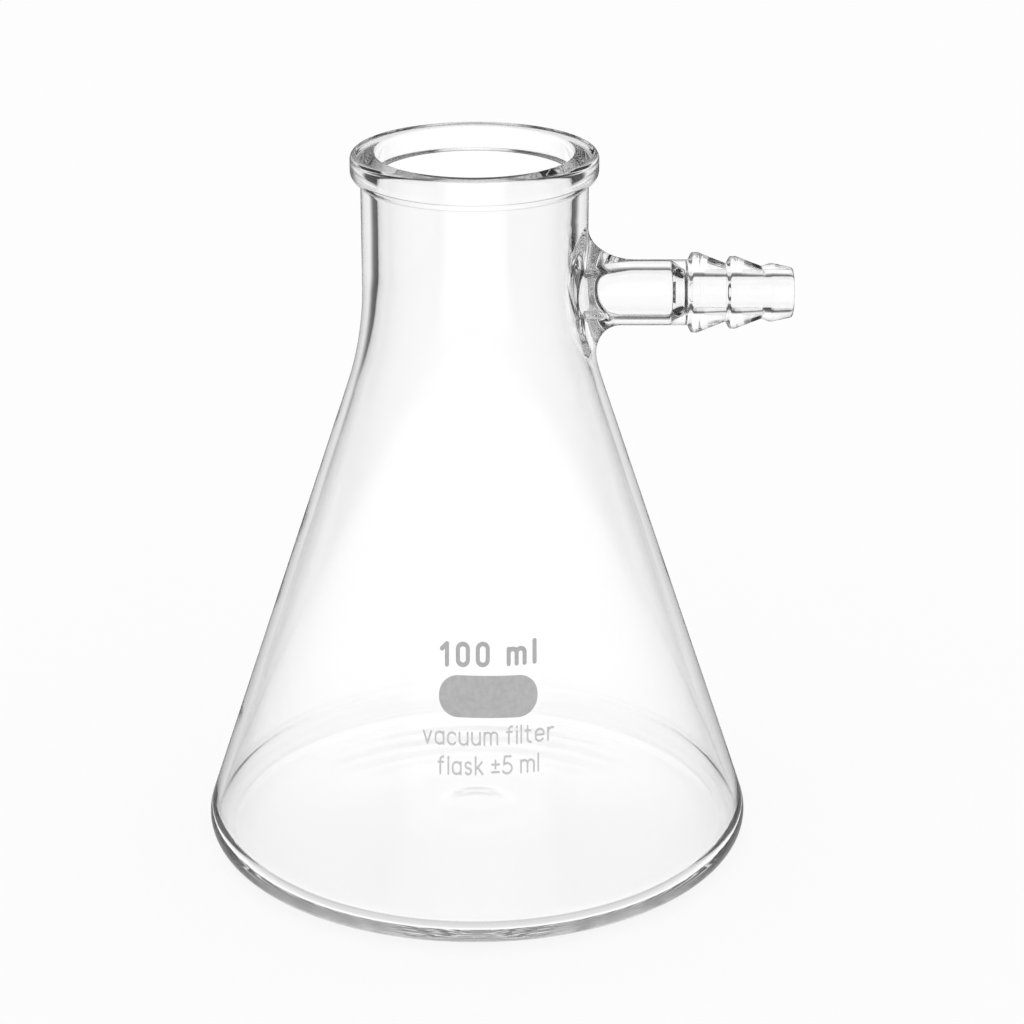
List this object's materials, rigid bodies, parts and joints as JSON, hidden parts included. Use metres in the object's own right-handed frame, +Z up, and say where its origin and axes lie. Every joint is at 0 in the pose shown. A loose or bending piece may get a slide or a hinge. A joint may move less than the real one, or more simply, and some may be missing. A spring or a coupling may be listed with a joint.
{
  "type": "buchner flask",
  "caption": "Conical vacuum filter flask in clear glass, with a beaded rim, a barbed side arm fused to the neck and fired enamel print.",
  "frame": {"origin": "on the flask's axis, in the plane of the ring it stands on", "axes": "+Z up the neck, +X along the side arm towards its tip, -Y towards the printed front"},
  "size_m": [0.0742, 0.07, 0.0905],
  "materials": {
    "body_glass": "clear blown borosilicate glass, fire polished",
    "arm_glass": "clear moulded borosilicate glass, fire polished",
    "grey_enamel": "fired grey enamel lettering, satin",
    "spot_enamel": "fired grey enamel writing patch, matt"
  },
  "bodies": {
    "root": {"flask_body": "body_glass", "side_arm": "arm_glass", "capacity_mark": "grey_enamel", "marking_spot": "spot_enamel", "use_note": "grey_enamel", "tolerance_note": "grey_enamel"}
  },
  "joints": []
}
